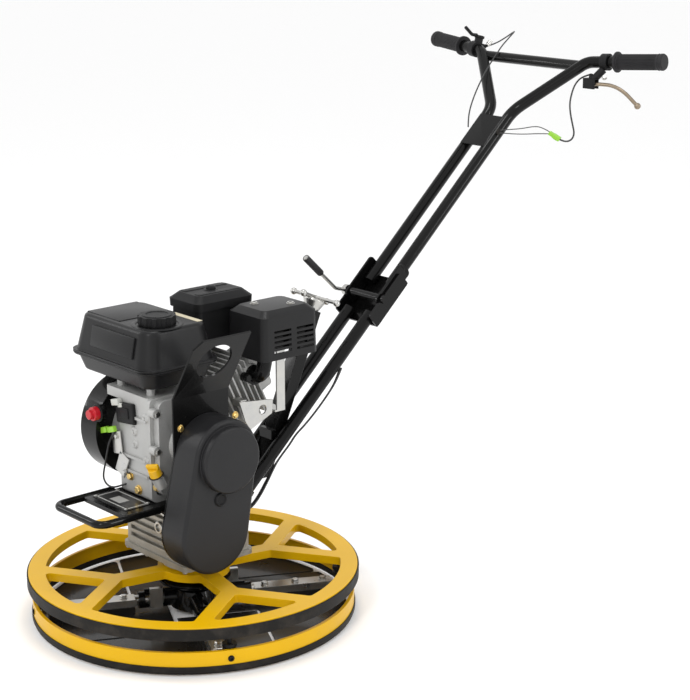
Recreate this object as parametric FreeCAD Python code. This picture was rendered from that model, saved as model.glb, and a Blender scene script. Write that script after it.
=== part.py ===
import FreeCAD, Part
import math
import os
from FreeCAD import Vector

# Walk-behind edging power trowel, 600 mm class, with a 200 cc horizontal-shaft petrol engine.
# Frame: +Z up, +X towards the belt-drive side, +Y towards the operator.
# Origin: on the floor, on the axis of the rotor.

X = Vector(1, 0, 0)
Y = Vector(0, 1, 0)
Z = Vector(0, 0, 1)
O = Vector(0, 0, 0)

# Guard rings
RING_R = 310.0            # outer radius of the fixed upper ring
RING_TOP = 93.0
RING_DEPTH = 16.0         # height of the ring's turned-down flanges
RIM_W = 32.0
RING_FILLET = 7.0
WALL = 4.0
SPOKE_ANGLE = -12.5       # first of four Y-shaped spokes
HUB_R = 68.0
BAND_R = 305.0            # outer radius of the turning lower ring

# Rotor
ARM_ANGLE = 62.5          # first of four blade arms
ARM_Z = 26.0              # height of the arm axes
BLADE_R = 290.0
BLADE_T = 3.0

# Gearbox: the worm lies along X, in front of the rotor axis
WORM_Y = -50.0
WORM_Z = 195.0
WHEEL_TEETH = 25
BOX_BASE = 128.0
BOX_TOP = 236.0

# Engine: the crankshaft lies along X
DECK = 244.0              # top of the base plate, where the engine's feet stand
CRANK_Y = -40.0
CRANK_Z = 350.0
PTO_FACE = 50.0
CYL_TILT = 25.0           # the cylinder rises to the rear by this angle
EXHAUST = Vector(0, 116, 449)
FILLER = Vector(50, -106, 281)
FILLER_DIR = Vector(0, -0.4, 0.9165)
COVER_BOLTS = ((-108, 347), (-108, 418), (-60, 428), (22, 428), (38, 300), (-60, 262))
SWITCH = Vector(-106, -134.6, 391)

# Belt drive
SHEET_X = 96.0            # inner face of the lifting plate, which backs the guard
SHEET_T = 4.0
GUARD_FACE = 162.0
GUARD_TOP_R = 70.0
GUARD_FOOT_R = 75.0
GUARD_FOOT = Vector(0, -67, 211)
BOSS_FACE = 178.0
BELT_X = 126.0
FLAP_LEAN = 27.5          # outward lean of the lifting flap

# Handle: twin tubes, one straight line from the gearbox to the top plate
TUBE_R = 12.5
TUBE_X = 30.0
KNEE = Vector(0, 418, 507)                     # point on the line where the lower tubes end
ALONG = Vector(0, 0.736, 0.677)
ACROSS = Vector(0, -0.677, 0.736)
PIN = KNEE + ALONG * 40 + ACROSS * 12          # axis of the folding hinge
GRIP_IN = Vector(215, 922, 984)
GRIP_OUT = Vector(321, 942, 991)
BAR_BEND = GRIP_IN + (GRIP_IN - GRIP_OUT) * (66.0 / 106.0)
THROTTLE_X = 172.0
CABLE_EXIT = Vector(-158, 934, 986)
STOP_X = 192.0
STOP_PIVOT = Vector(183, 893.2, 940)
STOP_AXIS = Vector(0, -0.832, 0.555)

# Pitch control: a post that leans back between the handle tubes
POST_TOP = Vector(0, 296, 536)
POST_DIR = Vector(0, 0.394, 0.919)


def box(x0, x1, y0, y1, z0, z1):
    return Part.makeBox(x1 - x0, y1 - y0, z1 - z0, Vector(x0, y0, z0))


def rod(centre, axis, radius, length):
    return Part.makeCylinder(radius, length, centre, axis)


def tube(centre, axis, outer, inner, length):
    return rod(centre, axis, outer, length).cut(rod(centre, axis, inner, length))


def fuse(shapes):
    first, rest = shapes[0], shapes[1:]
    return first.fuse(rest).removeSplitter() if rest else first


def turned(shape, angle, centre=O, axis=Z):
    copy = shape.copy()
    copy.rotate(centre, axis, angle)
    return copy


def mirrored(shape):
    return shape.mirror(O, X)


def prism(points, travel):
    face = Part.Face(Part.makePolygon(points + [points[0]]))
    return face.extrude(travel)


def edges_along(shape, axis):
    picked = []
    for edge in shape.Edges:
        if edge.Curve.TypeId == "Part::GeomLine":
            if abs(abs(edge.tangentAt(edge.FirstParameter).dot(axis)) - 1) < 1e-6:
                picked.append(edge)
    return picked


def rounded_box(x0, x1, y0, y1, z0, z1, radius, axis=Z):
    solid = box(x0, x1, y0, y1, z0, z1)
    return solid.makeFillet(radius, edges_along(solid, axis))


def path_wire(points, radii):
    """Straight runs joined by tangent arcs; radii has one value for each inner point."""
    edges = []
    start = points[0]
    for before, corner, after, radius in zip(points, points[1:], points[2:], radii):
        back = (before - corner).normalize()
        ahead = (after - corner).normalize()
        half = (math.pi - back.getAngle(ahead)) / 2
        reach = radius * math.tan(half)
        enter = corner + back * reach
        leave = corner + ahead * reach
        bisector = (back + ahead).normalize()
        centre = corner + bisector * (radius / math.cos(half))
        middle = centre - bisector * radius
        edges.append(Part.LineSegment(start, enter).toShape())
        edges.append(Part.Arc(enter, middle, leave).toShape())
        start = leave
    edges.append(Part.LineSegment(start, points[-1]).toShape())
    return Part.Wire(edges)


def sweep(points, radii, radius):
    path = path_wire(points, radii)
    ring = Part.Wire(Part.makeCircle(radius, points[0], points[1] - points[0]))
    return path.makePipeShell([ring], True, False)


def cord(points, diameter, name):
    """A cord's tube: every arc is as large as its two runs allow."""
    radii = []
    for before, corner, after in zip(points, points[1:], points[2:]):
        shorter = min((corner - before).Length, (after - corner).Length)
        half = (math.pi - (before - corner).getAngle(after - corner)) / 2
        radii.append(0.45 * shorter / math.tan(half))
    solid = sweep(points, radii, diameter / 2)
    length = path_wire(points, radii).Length
    section = math.pi * diameter ** 2 / 4
    print(name, "length %.0f mm, volume/section %.0f mm" % (length, solid.Volume / section),
          "radii", [round(r) for r in radii])
    return solid


def hex_bolt(seat, axis, across=13.0, head=5.5, shank=8.0, reach=14.0):
    """A hexagon-head bolt: seat is the face under the head, axis points out of the head."""
    circle = across / math.sqrt(3)
    corners = [Vector(circle * math.cos(math.radians(60 * k)), circle * math.sin(math.radians(60 * k)), 0)
               for k in range(6)]
    bolt = prism(corners, Z * head).fuse(rod(Z * -reach, Z, shank / 2, reach + 1))
    bolt.Placement = FreeCAD.Placement(seat, FreeCAD.Rotation(Z, axis))
    return bolt


def on_line(along, across=0.0, x=0.0):
    return KNEE + ALONG * along + ACROSS * across + X * x


# Guard rings ---------------------------------------------------------------------------------

def ring_web(inset, height, bottom):
    """Rim, hub and four Y-shaped spokes, with every edge drawn in by inset."""
    rim = tube(Z * bottom, Z, RING_R - inset, RING_R - RIM_W + inset, height)
    pieces = [rim, rod(Z * bottom, Z, HUB_R - inset, height)]
    half = 17.0 - inset
    stem = box(0, 178, -half, half, bottom, bottom + height)
    fork = Vector(158, 0, 0)
    for k in range(4):
        angle = SPOKE_ANGLE + 90 * k
        pieces.append(turned(stem, angle))
        for side in (-1, 1):
            tip = Vector(292 * math.cos(math.radians(22.5)), side * 292 * math.sin(math.radians(22.5)), 0)
            direction = tip - fork
            arm = box(0, direction.Length, -half + 2, half - 2, bottom, bottom + height)
            arm.rotate(O, Z, math.degrees(math.atan2(direction.y, direction.x)))
            arm.translate(fork)
            pieces.append(turned(arm, angle))
    web = fuse(pieces)
    corners = [e for e in edges_along(web, Z) if math.hypot(e.CenterOfMass.x, e.CenterOfMass.y) < 285]
    return web.makeFillet(RING_FILLET, corners)


def upper_ring():
    plate = ring_web(0, RING_DEPTH, RING_TOP - RING_DEPTH)
    hollow = ring_web(WALL, RING_DEPTH - WALL, RING_TOP - RING_DEPTH)
    keep = rod(Z * (RING_TOP - RING_DEPTH), Z, HUB_R - 12, RING_DEPTH)
    boss = Part.makeCone(HUB_R - 2, 56, 4, Z * RING_TOP)
    ring = plate.cut(hollow.cut(keep)).fuse(boss)
    return ring.cut(rod(Z * 60, Z, 32, 60)).removeSplitter()


def bumper_strip():
    return tube(Z * 70, Z, RING_R + 2.8, RING_R + 0.2, 21.5)


def ring_guides():
    """Four grooved rollers' studs and blocks that hang from the rim and carry the turning ring."""
    blocks = []
    for k in range(4):
        stud = rod(Vector(287, 0, 50), Z, 4, 39)
        block = rod(Vector(287, 0, 36), Z, 13, 16)
        groove = tube(Vector(287, 0, 40.6), Z, 14, 9.5, 4.8)
        blocks.append(turned(stud.fuse(block.cut(groove)), -24.8 + 90 * k))
    return Part.makeCompound(blocks)


def lower_ring():
    band = tube(Z * 15, Z, BAND_R - 1, BAND_R - 4.5, 29.5)
    lip = tube(Z * 42, Z, BAND_R - 1, 297.3, 2.5)
    return band.fuse(lip).removeSplitter()


def lower_rubber():
    skirt = tube(Z * 3, Z, BAND_R - 1, BAND_R - 5, 12)
    apron = tube(Z * 8, Z, BAND_R + 1, BAND_R - 1, 10)
    return skirt.fuse(apron).removeSplitter()


# Rotor ---------------------------------------------------------------------------------------

def output_shaft():
    shaft = rod(Z * 8, Z, 12, 205).fuse(rod(Z * 8, Z, 15, 6))
    wheel = tube(Z * 183, Z, 37, 12, 24)
    for k in range(WHEEL_TEETH):
        notch = box(33.5, 40, -1.6, 1.6, 182, 208)
        wheel = wheel.cut(turned(notch, 360.0 / WHEEL_TEETH * k))
    return shaft.fuse(wheel).removeSplitter()


def spider_hub():
    hub = Part.makeCone(46, 36, 34, Z * 10).fuse(rod(Z * 44, Z, 26, 12))
    arms = []
    for k in range(4):
        socket = rod(Vector(20, 0, ARM_Z), X, 16, 88)
        rib = box(20, 96, -5, 5, 38, 46)
        arms.append(turned(socket.fuse(rib), ARM_ANGLE + 90 * k))
    body = hub.fuse(arms)
    for k in range(4):
        bore = rod(Vector(30, 0, ARM_Z), X, 10, 90)
        slot = box(60, 96, 0, 18, ARM_Z - 8, 60)
        body = body.cut(turned(bore.fuse(slot), ARM_ANGLE + 90 * k))
    body = body.cut(rod(Z * 0, Z, 12.02, 80)).cut(rod(Z * 0, Z, 15.1, 14.1))
    return body.removeSplitter()


def blade_arm():
    """The arm along +X: a round shank in the spider's socket, a flat bar and a lifting finger."""
    shank = rod(Vector(31, 0, ARM_Z), X, 9.95, 84)
    bar = rounded_box(112, 268, -15, 15, 19.5, 33, 4, Y)
    finger = box(66, 90, 4, 36, ARM_Z - 4, ARM_Z + 5).fuse(box(66, 90, 27, 36, ARM_Z - 4, 60.4))
    return shank.fuse([bar, finger]).removeSplitter()


def blade():
    """A wide combination blade along +X with its riveted mounting bar."""
    disc = rod(O, Z, BLADE_R, BLADE_T)
    front = box(50, 300, -42, 110, 0, BLADE_T)
    wing = box(116, 300, -300, -42, 0, BLADE_T)
    plate = disc.common(front.fuse(wing)).removeSplitter()
    plate = plate.makeFillet(8, [e for e in edges_along(plate, Z) if e.CenterOfMass.x > 50.1])
    bar = rounded_box(116, 276, -17, 17, BLADE_T, 19.5, 4, Y)
    return plate.fuse(bar).removeSplitter()


def arm_holes():
    return fuse([rod(Vector(x, 0, 8), Z, 4, 30) for x in (136, 196, 250)])


def pressure_plate():
    rim = Part.makeCone(66, 70, 5, Z * 61).fuse(rod(Z * 66, Z, 70, 3))
    collar = rod(Z * 69, Z, 30.5, 7)
    return rim.fuse(collar).cut(rod(Z * 55, Z, 26.05, 40)).removeSplitter()


# Gearbox and base ----------------------------------------------------------------------------

def gearbox_housing():
    """The ribbed worm case, its bottom flange and the neck that the guard ring hangs from."""
    body = rounded_box(-107, 84, -80, 72, BOX_BASE, BOX_TOP - 10, 12)
    shoulder = prism([Vector(-110, -90, 190), Vector(-110, -90, 240), Vector(-70, -90, 240)], Y * 170)
    body = body.cut(shoulder).fuse(rounded_box(-84, 76, -84, 72, BOX_TOP - 12, BOX_TOP, 12))
    for k in range(5):
        z = BOX_BASE + 14 + 15 * k
        body = body.cut(box(-88, 66, -81, -72, z, z + 8)).cut(box(-60, 66, 64, 73, z, z + 8))
    flange = rounded_box(-112, 89, -85, 77, BOX_BASE - 10, BOX_BASE, 14)
    neck = Part.makeCone(58, 50, 12, Z * 97).fuse(rod(Z * 109, Z, 50, 10))
    body = body.fuse([flange, neck, rod(Z * 62, Z, 26, 36)])
    chamber = rod(Vector(-82, WORM_Y, WORM_Z), X, 19, 146).fuse(rod(Z * BOX_BASE, Z, 44, 84))
    body = body.cut(chamber).cut(rod(Vector(-99, WORM_Y, WORM_Z), X, 10, 190))
    return body.cut(rod(Z * 60, Z, 12.05, 155)).removeSplitter()


def worm_shaft():
    core = rod(Vector(-98, WORM_Y, WORM_Z), X, 9.95, 240)
    worm = rod(Vector(-45, WORM_Y, WORM_Z), X, 12.5, 90)
    return core.fuse(worm).removeSplitter()


def driven_pulley():
    centre = Vector(BELT_X - 13, WORM_Y, WORM_Z)
    wheel = rod(centre, X, 40, 26)
    groove = tube(centre + X * 6, X, 41, 31, 14)
    return wheel.cut(groove).cut(rod(centre - X, X, 10, 30)).fuse(
        tube(centre - X * 10, X, 20, 10, 10)).removeSplitter()


def base_plate():
    return rounded_box(-86, 46, -186, 100, BOX_TOP, DECK, 6)


def carry_bar():
    left, right, front, level = -93, 53, -243, 240
    points = [Vector(left, -114, level), Vector(left, front, level),
              Vector(right, front, level), Vector(right, -86, level)]
    return sweep(points, [20, 20], 7)


def hex_bolts():
    """M8 and M6 hexagon bolts of the fixed frame."""
    bolts = []
    for x in (-76, 18):
        bolts.append(hex_bolt(Vector(x, 66, DECK + 10), Z, reach=16))
    for x in (-100, -40, 20, 78):
        bolts.append(hex_bolt(Vector(x, -78, BOX_BASE - 10), -Z, across=9, head=4, shank=5, reach=8))
    for y, z in COVER_BOLTS:
        bolts.append(hex_bolt(Vector(PTO_FACE - 6, y, z), X, across=10, head=5, shank=6, reach=18))
    return Part.makeCompound(bolts)


# Engine --------------------------------------------------------------------------------------

def crankcase():
    """The main casting with its fan-side neck, its top ledge, its foot and the tank's four posts."""
    block = rounded_box(-68, 28, -112, 44, DECK, 442, 12, X)
    foot = box(-88, 28, 40, 82, DECK, DECK + 10)
    neck = rod(Vector(-108, CRANK_Y, CRANK_Z), X, 62, 45)
    ledge = rounded_box(-108, 20, -112, 30, 424, 442, 5, Z)
    ribs = [box(-62, 20, -116, -110, z, z + 5) for z in (290, 318, 396)]
    posts = [rod(Vector(x, y, 440), Z, 8, 17.7) for x in (-86, 6) for y in (-92, 8)]
    inside = rounded_box(-60, 28, -102, 34, 256, 424, 10, X)
    bore = rod(Vector(-112, CRANK_Y, CRANK_Z), X, 17.55, 60)
    return block.fuse([foot, neck, ledge] + ribs + posts).cut(inside).cut(bore).removeSplitter()


def cylinder_axis_box(x0, x1, d0, d1, half):
    """A box along the tilted cylinder axis, from d0 to d1 from the crankshaft."""
    solid = box(x0, x1, d0, d1, -half, half)
    solid.rotate(O, X, CYL_TILT)
    solid.translate(Vector(0, CRANK_Y, CRANK_Z))
    return solid


def side_cover():
    outline = rounded_box(28, PTO_FACE - 6, -104, 48, 258, 440, 18, X)
    pads = []
    for y, z in COVER_BOLTS:
        pads.append(rod(Vector(28, y, z), X, 9, PTO_FACE - 34))
    boss = Part.makeCone(46, 38, 10, Vector(PTO_FACE - 10, CRANK_Y, CRANK_Z), X)
    filler = rod(FILLER, FILLER_DIR, 11, 26)
    body = fuse([outline, boss] + pads)
    body = body.cut(rounded_box(20, PTO_FACE - 14, -92, 36, 270, 428, 12, X))
    return body.fuse(filler).cut(rod(Vector(20, CRANK_Y, CRANK_Z), X, 12.55, 60)).removeSplitter()


def dipstick():
    return Part.makeCone(12, 11, 16, FILLER + FILLER_DIR * 26.2, FILLER_DIR)


def cylinder():
    """Finned barrel, clear of the crankcase and its side cover, with the head and rocker cover."""
    pieces = [cylinder_axis_box(-64, 20, 82, 162, 42)]
    for k in range(6):
        pieces.append(cylinder_axis_box(-78, 36, 90 + 13 * k, 93.5 + 13 * k, 56))
    casing = box(-110, 52, -120, 44, 240, 442).fuse(box(28, 52, -120, 48.3, 240, 442))
    barrel = fuse(pieces).cut(casing)
    pieces = [cylinder_axis_box(-66, 24, 162, 196, 44)]
    for k in range(3):
        pieces.append(cylinder_axis_box(-80, 40, 165 + 11 * k, 168 + 11 * k, 58))
    pieces.append(rod(Vector(20, EXHAUST.y, EXHAUST.z), X, 20, 22))
    cover = cylinder_axis_box(-58, 18, 196, 232, 38)
    pieces.append(cover.makeFillet(8, [e for e in cover.Edges if e.CenterOfMass.y > 150]))
    return fuse([barrel] + pieces)


def blower_housing():
    """The fan cowl on the starter side: a drum around the flywheel with a duct over the cylinder."""
    drum = rod(Vector(-158, CRANK_Y, CRANK_Z), X, 98, 50)
    duct = cylinder_axis_box(-158, -108, 0, 125, 62)
    inner = rod(Vector(-155, CRANK_Y, CRANK_Z), X, 95, 44).fuse(cylinder_axis_box(-155, -111, 0, 122, 59))
    switch_pad = rod(SWITCH + Y * 0.4, Y, 15, 12)
    shell = drum.fuse([duct, switch_pad]).cut(inner)
    hub = rod(Vector(-118, CRANK_Y, CRANK_Z), X, 40, 12)
    return shell.cut(hub).cut(rod(Vector(-160, CRANK_Y, CRANK_Z), X, 70, 10)).removeSplitter()


def recoil_cover():
    dome = Part.makeCone(64, 88, 32, Vector(-190, CRANK_Y, CRANK_Z), X)
    inner = Part.makeCone(61, 85, 32, Vector(-187, CRANK_Y, CRANK_Z), X)
    cover = dome.cut(inner)
    for k in range(18):
        slot = box(-192, -183, -2.5, 2.5, 36, 58)
        slot.rotate(O, X, 20 * k)
        slot.translate(Vector(0, CRANK_Y, CRANK_Z))
        cover = cover.cut(slot)
    return cover


def crankshaft():
    """Crankshaft with the flywheel and its fan at one end and the clutch's shoes at the other."""
    main = rod(Vector(-146, CRANK_Y, CRANK_Z), X, 12.5, 237)
    journal = rod(Vector(-112, CRANK_Y, CRANK_Z), X, 17.5, 20)
    web = rod(Vector(-50, CRANK_Y, CRANK_Z), X, 40, 34)
    shoes = rod(Vector(BOSS_FACE - 31, CRANK_Y, CRANK_Z), X, 34, 20)
    stub = rod(Vector(90, CRANK_Y, CRANK_Z), X, 9.5, 58)
    vanes = []
    for k in range(16):
        vane = box(-154, -145, -2, 2, 48, 82)
        vane.rotate(O, X, 22.5 * k)
        vane.translate(Vector(0, CRANK_Y, CRANK_Z))
        vanes.append(vane)
    wheel = rod(Vector(-146, CRANK_Y, CRANK_Z), X, 84, 14)
    return fuse([main, journal, web, shoes, stub, wheel] + vanes)


def clutch_drum():
    """The centrifugal clutch's drum with its belt pulley, which turns free on the crankshaft."""
    centre = Vector(BELT_X - 14, CRANK_Y, CRANK_Z)
    hub = rod(centre, X, 34, 27).cut(tube(centre + X * 7, X, 35, 26, 14))
    cup = tube(centre + X * 27, X, 42, 37, 27).fuse(rod(centre + X * 27, X, 42, 4))
    return hub.fuse(cup).cut(rod(centre - X, X, 9.55, 40)).removeSplitter()


def tank_shell(x0, x1, y0, y1, z0, z1, corner, taper_x, taper_y):
    """A loft between two rounded rectangles, drawn in at the second one."""
    def outline(inset_x, inset_y, z, radius):
        a, b, c, d = x0 + inset_x, x1 - inset_x, y0 + inset_y, y1 - inset_y
        corners = [Vector(a, c, z), Vector(b, c, z), Vector(b, d, z), Vector(a, d, z)]
        middle = (corners[0] + corners[1]) * 0.5
        wire = path_wire([middle] + corners[1:] + [corners[0], middle], [radius] * 4)
        return wire
    return Part.makeLoft([outline(0, 0, z0, corner), outline(taper_x, taper_y, z1, corner * 0.85)], True)


def tank_lower():
    shell = tank_shell(-198, 45, -127, 36, 494, 458, 32, 12, 12)
    lip = tank_shell(-204, 51, -133, 42, 490, 494, 36, 0, 0)
    cavity = tank_shell(-195, 42, -124, 33, 494.2, 462, 30, 11, 11)
    body = shell.makeFillet(8, [e for e in shell.Edges if e.BoundBox.ZMax < 458.1])
    return body.fuse(lip).cut(cavity).removeSplitter()


def tank_upper():
    shell = tank_shell(-199, 46, -128, 37, 498, 566, 34, 14, 14)
    lip = tank_shell(-204, 51, -133, 42, 494, 498, 36, 0, 0)
    cavity = tank_shell(-196, 43, -125, 34, 494, 562, 32, 12, 12)
    neck = tube(Vector(-11, -62, 560), Z, 24, 19, 10)
    body = shell.makeFillet(9, [e for e in shell.Edges if e.BoundBox.ZMin > 565.9]).fuse([lip, neck])
    return body.cut(cavity).cut(rod(Vector(-11, -62, 540), Z, 19, 40)).removeSplitter()


def fuel_cap():
    centre = Vector(-11, -62, 567)
    cap = rod(centre, Z, 35, 17)
    for k in range(12):
        angle = k * math.pi / 6
        scallop = rod(centre + Vector(39 * math.cos(angle), 39 * math.sin(angle), -1), Z, 7, 20)
        cap = cap.cut(scallop)
    return cap.cut(tube(centre - Z, Z, 25.5, 0.1, 4.5)).fuse(rod(centre + Z * 3, Z, 20, 1)).removeSplitter()


def air_cleaner_base():
    tray = rounded_box(-122, -44, 56, 172, 500, 508, 14)
    elbow = rod(Vector(-100, 102, 470), Z, 15, 31)
    return tray.fuse(elbow)


def air_cleaner_cover():
    body = tank_shell(-125, -35, 49, 179, 508, 566, 13, 2, 2)
    lid = tank_shell(-128, -32, 46, 182, 564, 579, 15, 0, 0)
    crown = tank_shell(-128, -32, 46, 182, 579, 591, 15, 13, 13)
    inside = tank_shell(-122, -38, 52, 176, 508, 586, 11, 5, 5)
    return fuse([body, lid, crown]).cut(inside)


def carburetor():
    body = rounded_box(-117, -84, 84, 122, 438, 470, 5)
    neck = box(-84, -80.2, 88, 118, 440, 466)
    bowl = rod(Vector(-100.5, 103, 412), Z, 15, 27)
    return fuse([body, neck, bowl])


def muffler():
    """Silencer box with the elbow that bolts its oval flange to the exhaust port."""
    can = rounded_box(4, 82, 116, 222, 502, 556, 12)
    foot = Vector(42, EXHAUST.y, EXHAUST.z)
    elbow = sweep([foot, foot + X * 26, Vector(68, 130, 504)], [17], 14)
    flange = rod(foot, X, 19, 7)
    for y in (-22, 22):
        flange = flange.fuse(rod(foot + Y * y, X, 9, 7))
        flange = flange.fuse(hex_bolt(foot + Y * y + X * 7, X, across=12, head=9, shank=6, reach=6))
    return fuse([can, elbow, flange])


def muffler_guard():
    guard = tank_shell(-15, 95, 99, 234, 484, 566, 14, 2, 2)
    guard = guard.fuse(tank_shell(-13, 93, 101, 232, 566, 577, 14, 13, 13))
    guard = guard.cut(tank_shell(-12, 92, 102, 231, 484, 563, 11, 2, 2))
    for k in range(5):
        for y0, y1 in ((126, 167), (180, 221)):
            guard = guard.cut(box(84, 100, y0, y1, 497 + 9.5 * k, 501.5 + 9.5 * k))
    return guard.removeSplitter()


def zinc_brackets():
    """The muffler's stay, and the three-cornered bracket beside the cylinder."""
    stay = box(58, 62, 157, 177, 372, 501.7).fuse(box(24, 62, 152, 177, 372, 376))
    plate = prism([Vector(62, 64, 410), Vector(62, 144, 401), Vector(62, 142, 374), Vector(62, 89, 351),
                   Vector(62, 78, 368)], X * 4)
    plate = plate.cut(rod(Vector(50, 119, 385), X, 9, 30))
    arm = box(36, 62, 70, 84, 398, 411)
    return Part.makeCompound([stay, plate.fuse(arm)])


def stop_switch():
    return rod(SWITCH, -Y, 13, 12).fuse(rod(SWITCH - Y * 12, -Y, 9, 8))


# Belt drive cover ----------------------------------------------------------------------------

def pear(grow, x0, x1):
    """Hull of the two circles of the belt guard's outline."""
    top = Vector(x0, CRANK_Y, CRANK_Z)
    foot = Vector(x0, GUARD_FOOT.y, GUARD_FOOT.z)
    r1, r2 = GUARD_TOP_R + grow, GUARD_FOOT_R + grow
    line = foot - top
    tilt = math.asin((r1 - r2) / line.Length)
    out = line.normalize()
    side = Vector(0, -out.z, out.y)
    normals = [side * math.cos(tilt) + out * math.sin(tilt), side * -math.cos(tilt) + out * math.sin(tilt)]
    a, b = top + normals[0] * r1, top + normals[1] * r1
    c, d = foot + normals[1] * r2, foot + normals[0] * r2
    outline = Part.Wire([Part.Arc(a, top - out * r1, b).toShape(), Part.LineSegment(b, c).toShape(),
                         Part.Arc(c, foot + out * r2, d).toShape(), Part.LineSegment(d, a).toShape()])
    return Part.Face(outline).extrude(X * (x1 - x0))


def belt_guard():
    back = SHEET_X + SHEET_T
    body = pear(0, back, GUARD_FACE)
    body = body.makeFillet(7, [e for e in body.Edges if e.BoundBox.XMin > GUARD_FACE - 0.1])
    boss = rod(Vector(GUARD_FACE - 8, CRANK_Y, CRANK_Z - 2), X, 61, BOSS_FACE - GUARD_FACE + 8)
    boss = boss.makeFillet(4, [e for e in boss.Edges if e.BoundBox.XMin > BOSS_FACE - 0.1])
    inner = pear(-3, back, GUARD_FACE - 3).fuse(
        rod(Vector(GUARD_FACE - 8, CRANK_Y, CRANK_Z - 2), X, 58, BOSS_FACE - GUARD_FACE + 5))
    return body.fuse(boss).cut(inner).removeSplitter()


def lift_plate():
    """One sheet that backs the belt guard, with its top bent outward as a lifting eye."""
    left, right, bend = -112.0, 12.0, 458.0
    outline = pear(0, SHEET_X, SHEET_X + SHEET_T)
    upper = box(SHEET_X, SHEET_X + SHEET_T, left, right, 300, bend)
    flap = prism([Vector(SHEET_X, left, bend), Vector(SHEET_X, right, bend), Vector(SHEET_X, right + 8, bend + 129),
                  Vector(SHEET_X, left + 26, bend + 129), Vector(SHEET_X, left + 9, bend + 112)], X * SHEET_T)
    flap = flap.cut(rod(Vector(SHEET_X - 5, -45, bend + 76), X, 37, 20))
    flap.rotate(Vector(SHEET_X, 0, bend), Y, FLAP_LEAN)
    sheet = fuse([outline, upper, flap])
    sheet = sheet.cut(rod(Vector(80, CRANK_Y, CRANK_Z), X, 20, 40))
    sheet = sheet.cut(rod(Vector(80, WORM_Y, WORM_Z), X, 22, 40))
    spacers = [tube(Vector(PTO_FACE, y, z), X, 9, 4, SHEET_X - PTO_FACE)
               for y, z in ((-70, 380), (-70, 318), (-10, 380), (-10, 318))]
    return fuse([sheet] + spacers)


def belt():
    def loop(grow, x0, width):
        top, foot = Vector(x0, CRANK_Y, CRANK_Z), Vector(x0, WORM_Y, WORM_Z)
        r1, r2 = 26.5 + grow, 31.5 + grow
        line = foot - top
        tilt = math.asin((r1 - r2) / line.Length)
        out = line.normalize()
        side = Vector(0, -out.z, out.y)
        normals = [side * math.cos(tilt) + out * math.sin(tilt), side * -math.cos(tilt) + out * math.sin(tilt)]
        a, b = top + normals[0] * r1, top + normals[1] * r1
        c, d = foot + normals[1] * r2, foot + normals[0] * r2
        wire = Part.Wire([Part.Arc(a, top - out * r1, b).toShape(), Part.LineSegment(b, c).toShape(),
                          Part.Arc(c, foot + out * r2, d).toShape(), Part.LineSegment(d, a).toShape()])
        return Part.Face(wire).extrude(X * width)
    return loop(8, BELT_X - 5.5, 11).cut(loop(0, BELT_X - 6, 12))


# Handle --------------------------------------------------------------------------------------

def lower_handle():
    start, end = on_line(-420, 0), on_line(8, 0)
    pieces = []
    for side in (-1, 1):
        shift = X * (side * TUBE_X)
        pieces.append(rod(start + shift, ALONG, TUBE_R, (end - start).Length))
        gusset = prism([Vector(0, 79, 160), Vector(0, 79, 226), Vector(0, 106, 226), Vector(0, 122, 212)], X * 8)
        gusset.translate(X * (side * TUBE_X - 4))
        pieces.append(gusset)
    pieces.append(rounded_box(-52, 52, 72, 80, 140, 222, 8, Y))
    inner = [rod(start + X * (side * TUBE_X), ALONG, TUBE_R - 2, (end - start).Length) for side in (-1, 1)]
    handle = fuse(pieces)
    for bore in inner:
        handle = handle.cut(bore)
    cut_off = box(-60, 60, 20, 79, 60, 300)
    plate = rounded_box(-52, 52, 72, 80, 140, 222, 8, Y)
    return handle.cut(cut_off).fuse(plate).removeSplitter()


def handle_block(x0, x1, s0, s1, n0, n1, radius=0):
    """A block laid out along the handle tubes (s) and square to them (n)."""
    corners = [on_line(s0, n0, x0), on_line(s1, n0, x0), on_line(s1, n1, x0), on_line(s0, n1, x0)]
    block = prism(corners, X * (x1 - x0))
    return block.makeFillet(radius, edges_along(block, X)) if radius else block


def fold_bracket():
    """Channel welded behind the lower tubes' ends, with the hinge pin through its two flanges."""
    flange = handle_block(47, 51, -8, 104, -17.5, 16, 6)
    web = handle_block(-50, 50, -8, 104, -17.5, -13.5)
    seat = handle_block(-44, 44, -4, 8, -14, -12.5)
    channel = fuse([flange, mirrored(flange), web, seat]).cut(rod(PIN - X * 70, X, 6, 140))
    pin = fuse([rod(PIN - X * 62, X, 6, 115), rod(PIN - X * 42, X, 8.5, 84), rod(PIN + X * 51, X, 9, 6)])
    return fuse([channel, pin])


def fold_lever():
    start = PIN - X * 56.4
    eye = tube(start - X * 5, X, 11, 6.05, 10)
    points = [start + Vector(0, -9, 2), start + Vector(-2, -30, 8), start + Vector(-4, -106, 81)]
    stem = sweep(points, [12], 4)
    direction = (points[2] - points[1]).normalize()
    sleeve = rod(points[1] + direction * 52, direction, 6.5, 53)
    return fuse([eye, stem.cut(rod(start - X * 9, X, 10, 18)), sleeve])


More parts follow.
